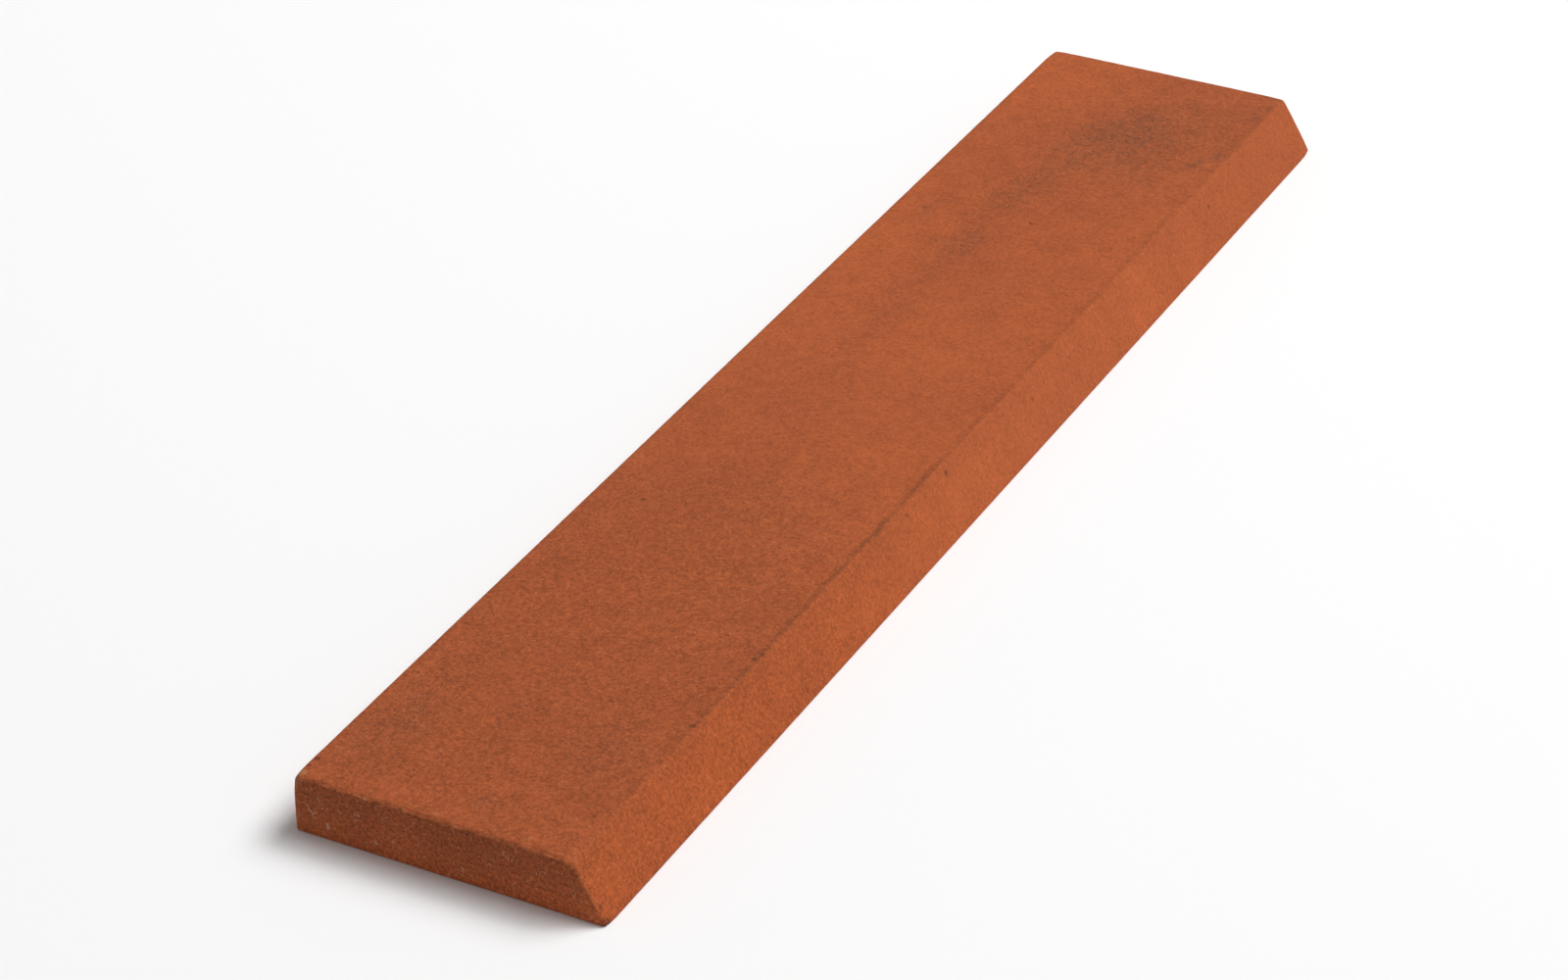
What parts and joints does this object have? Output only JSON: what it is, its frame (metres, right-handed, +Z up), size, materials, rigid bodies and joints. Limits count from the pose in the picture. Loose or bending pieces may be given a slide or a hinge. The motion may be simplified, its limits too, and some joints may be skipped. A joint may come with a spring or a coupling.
{
  "type": "bevel-edge sharpening stone",
  "caption": "Flat bar of orange-brown bonded abrasive with one square long edge and one bevelled long edge, for honing edge tools by hand.",
  "frame": {"origin": "centre of the bounding box's underside: middle of the bottom face, on the surface the stone lies on", "axes": "+Y along the length, +Z up through the thickness, +X towards the bevelled long edge; the square long edge faces -X and the bevel's foot is at the bottom"},
  "size_m": [0.0254, 0.127, 0.0048],
  "materials": {
    "abrasive": "matte"
  },
  "bodies": {
    "root": {"sharpening_stone": "abrasive"}
  },
  "joints": []
}
